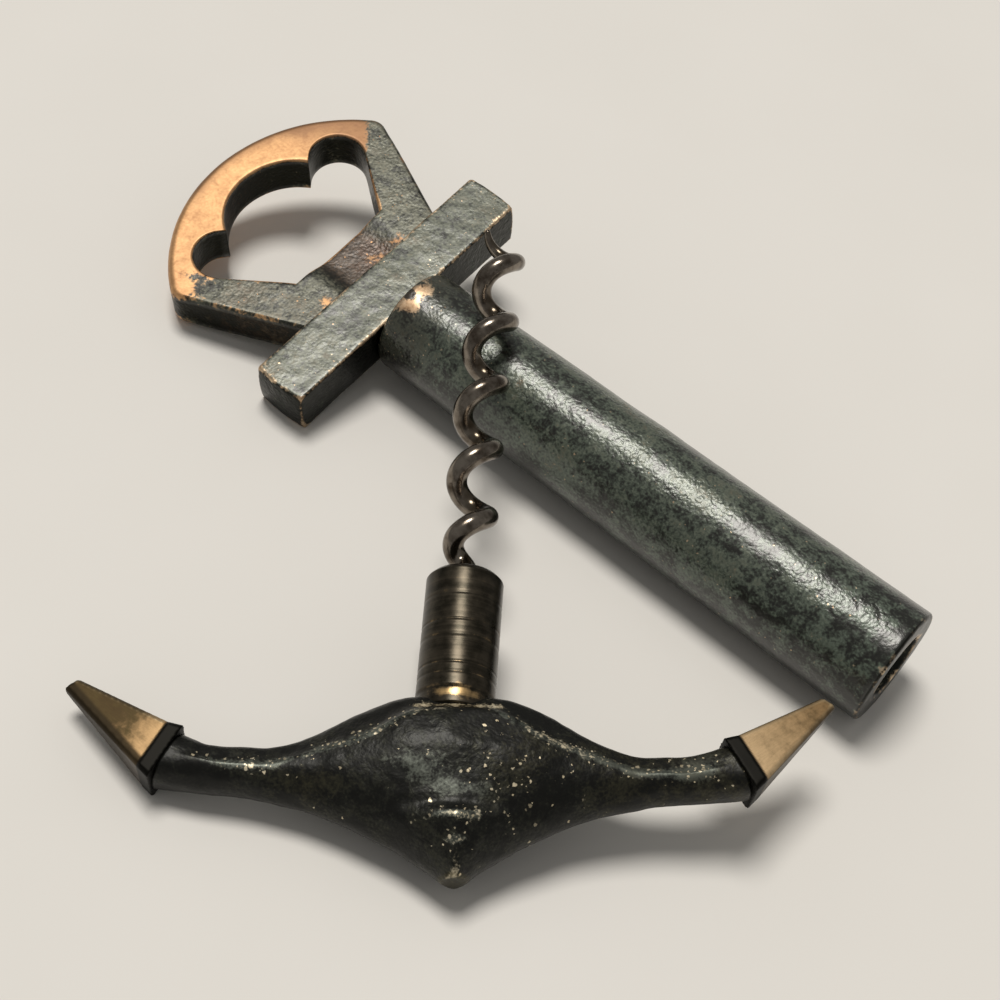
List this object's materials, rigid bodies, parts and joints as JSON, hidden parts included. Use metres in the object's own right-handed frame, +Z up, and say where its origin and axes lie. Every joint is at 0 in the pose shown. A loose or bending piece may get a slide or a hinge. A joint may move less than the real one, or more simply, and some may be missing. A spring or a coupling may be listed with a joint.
{
  "type": "corkscrew",
  "caption": "Anchor-shaped bronze corkscrew drawn apart: a hollow shank with a cap-lifter ring is the sheath, and anchor arms with flukes are the handle of its plug and steel worm.",
  "frame": {"origin": "centre of the sheath's mouth, on the bore's axis", "axes": "+X out of the sheath's mouth, +Z up from the table that it lies on"},
  "size_m": [0.145, 0.1192, 0.0292],
  "materials": {
    "worn_bronze": "cast bronze, worn bright on the outer loop and patinated on the legs",
    "green_bronze": "sand-cast bronze with a grey-green patina",
    "black_bronze": "sand-cast bronze, blackened, worn bright on its high points",
    "ground_brass": "ground and tarnished",
    "turned_bronze": "turned, darkened",
    "nickel_steel": "nickel-plated wire"
  },
  "bodies": {
    "sheath": {"opener_ring": "worn_bronze", "stock_bar": "green_bronze", "shank_tube": "green_bronze"},
    "screw": {"anchor_arms": "black_bronze", "left_fluke": "ground_brass", "right_fluke": "ground_brass", "screw_plug": "turned_bronze", "worm": "nickel_steel", "worm_pin": "turned_bronze"}
  },
  "joints": [
    {"name": "screw_lift", "type": "slide", "parent": "sheath", "child": "screw", "axis": [0, 0, 1], "range_m": [0, 0.08]}
  ]
}
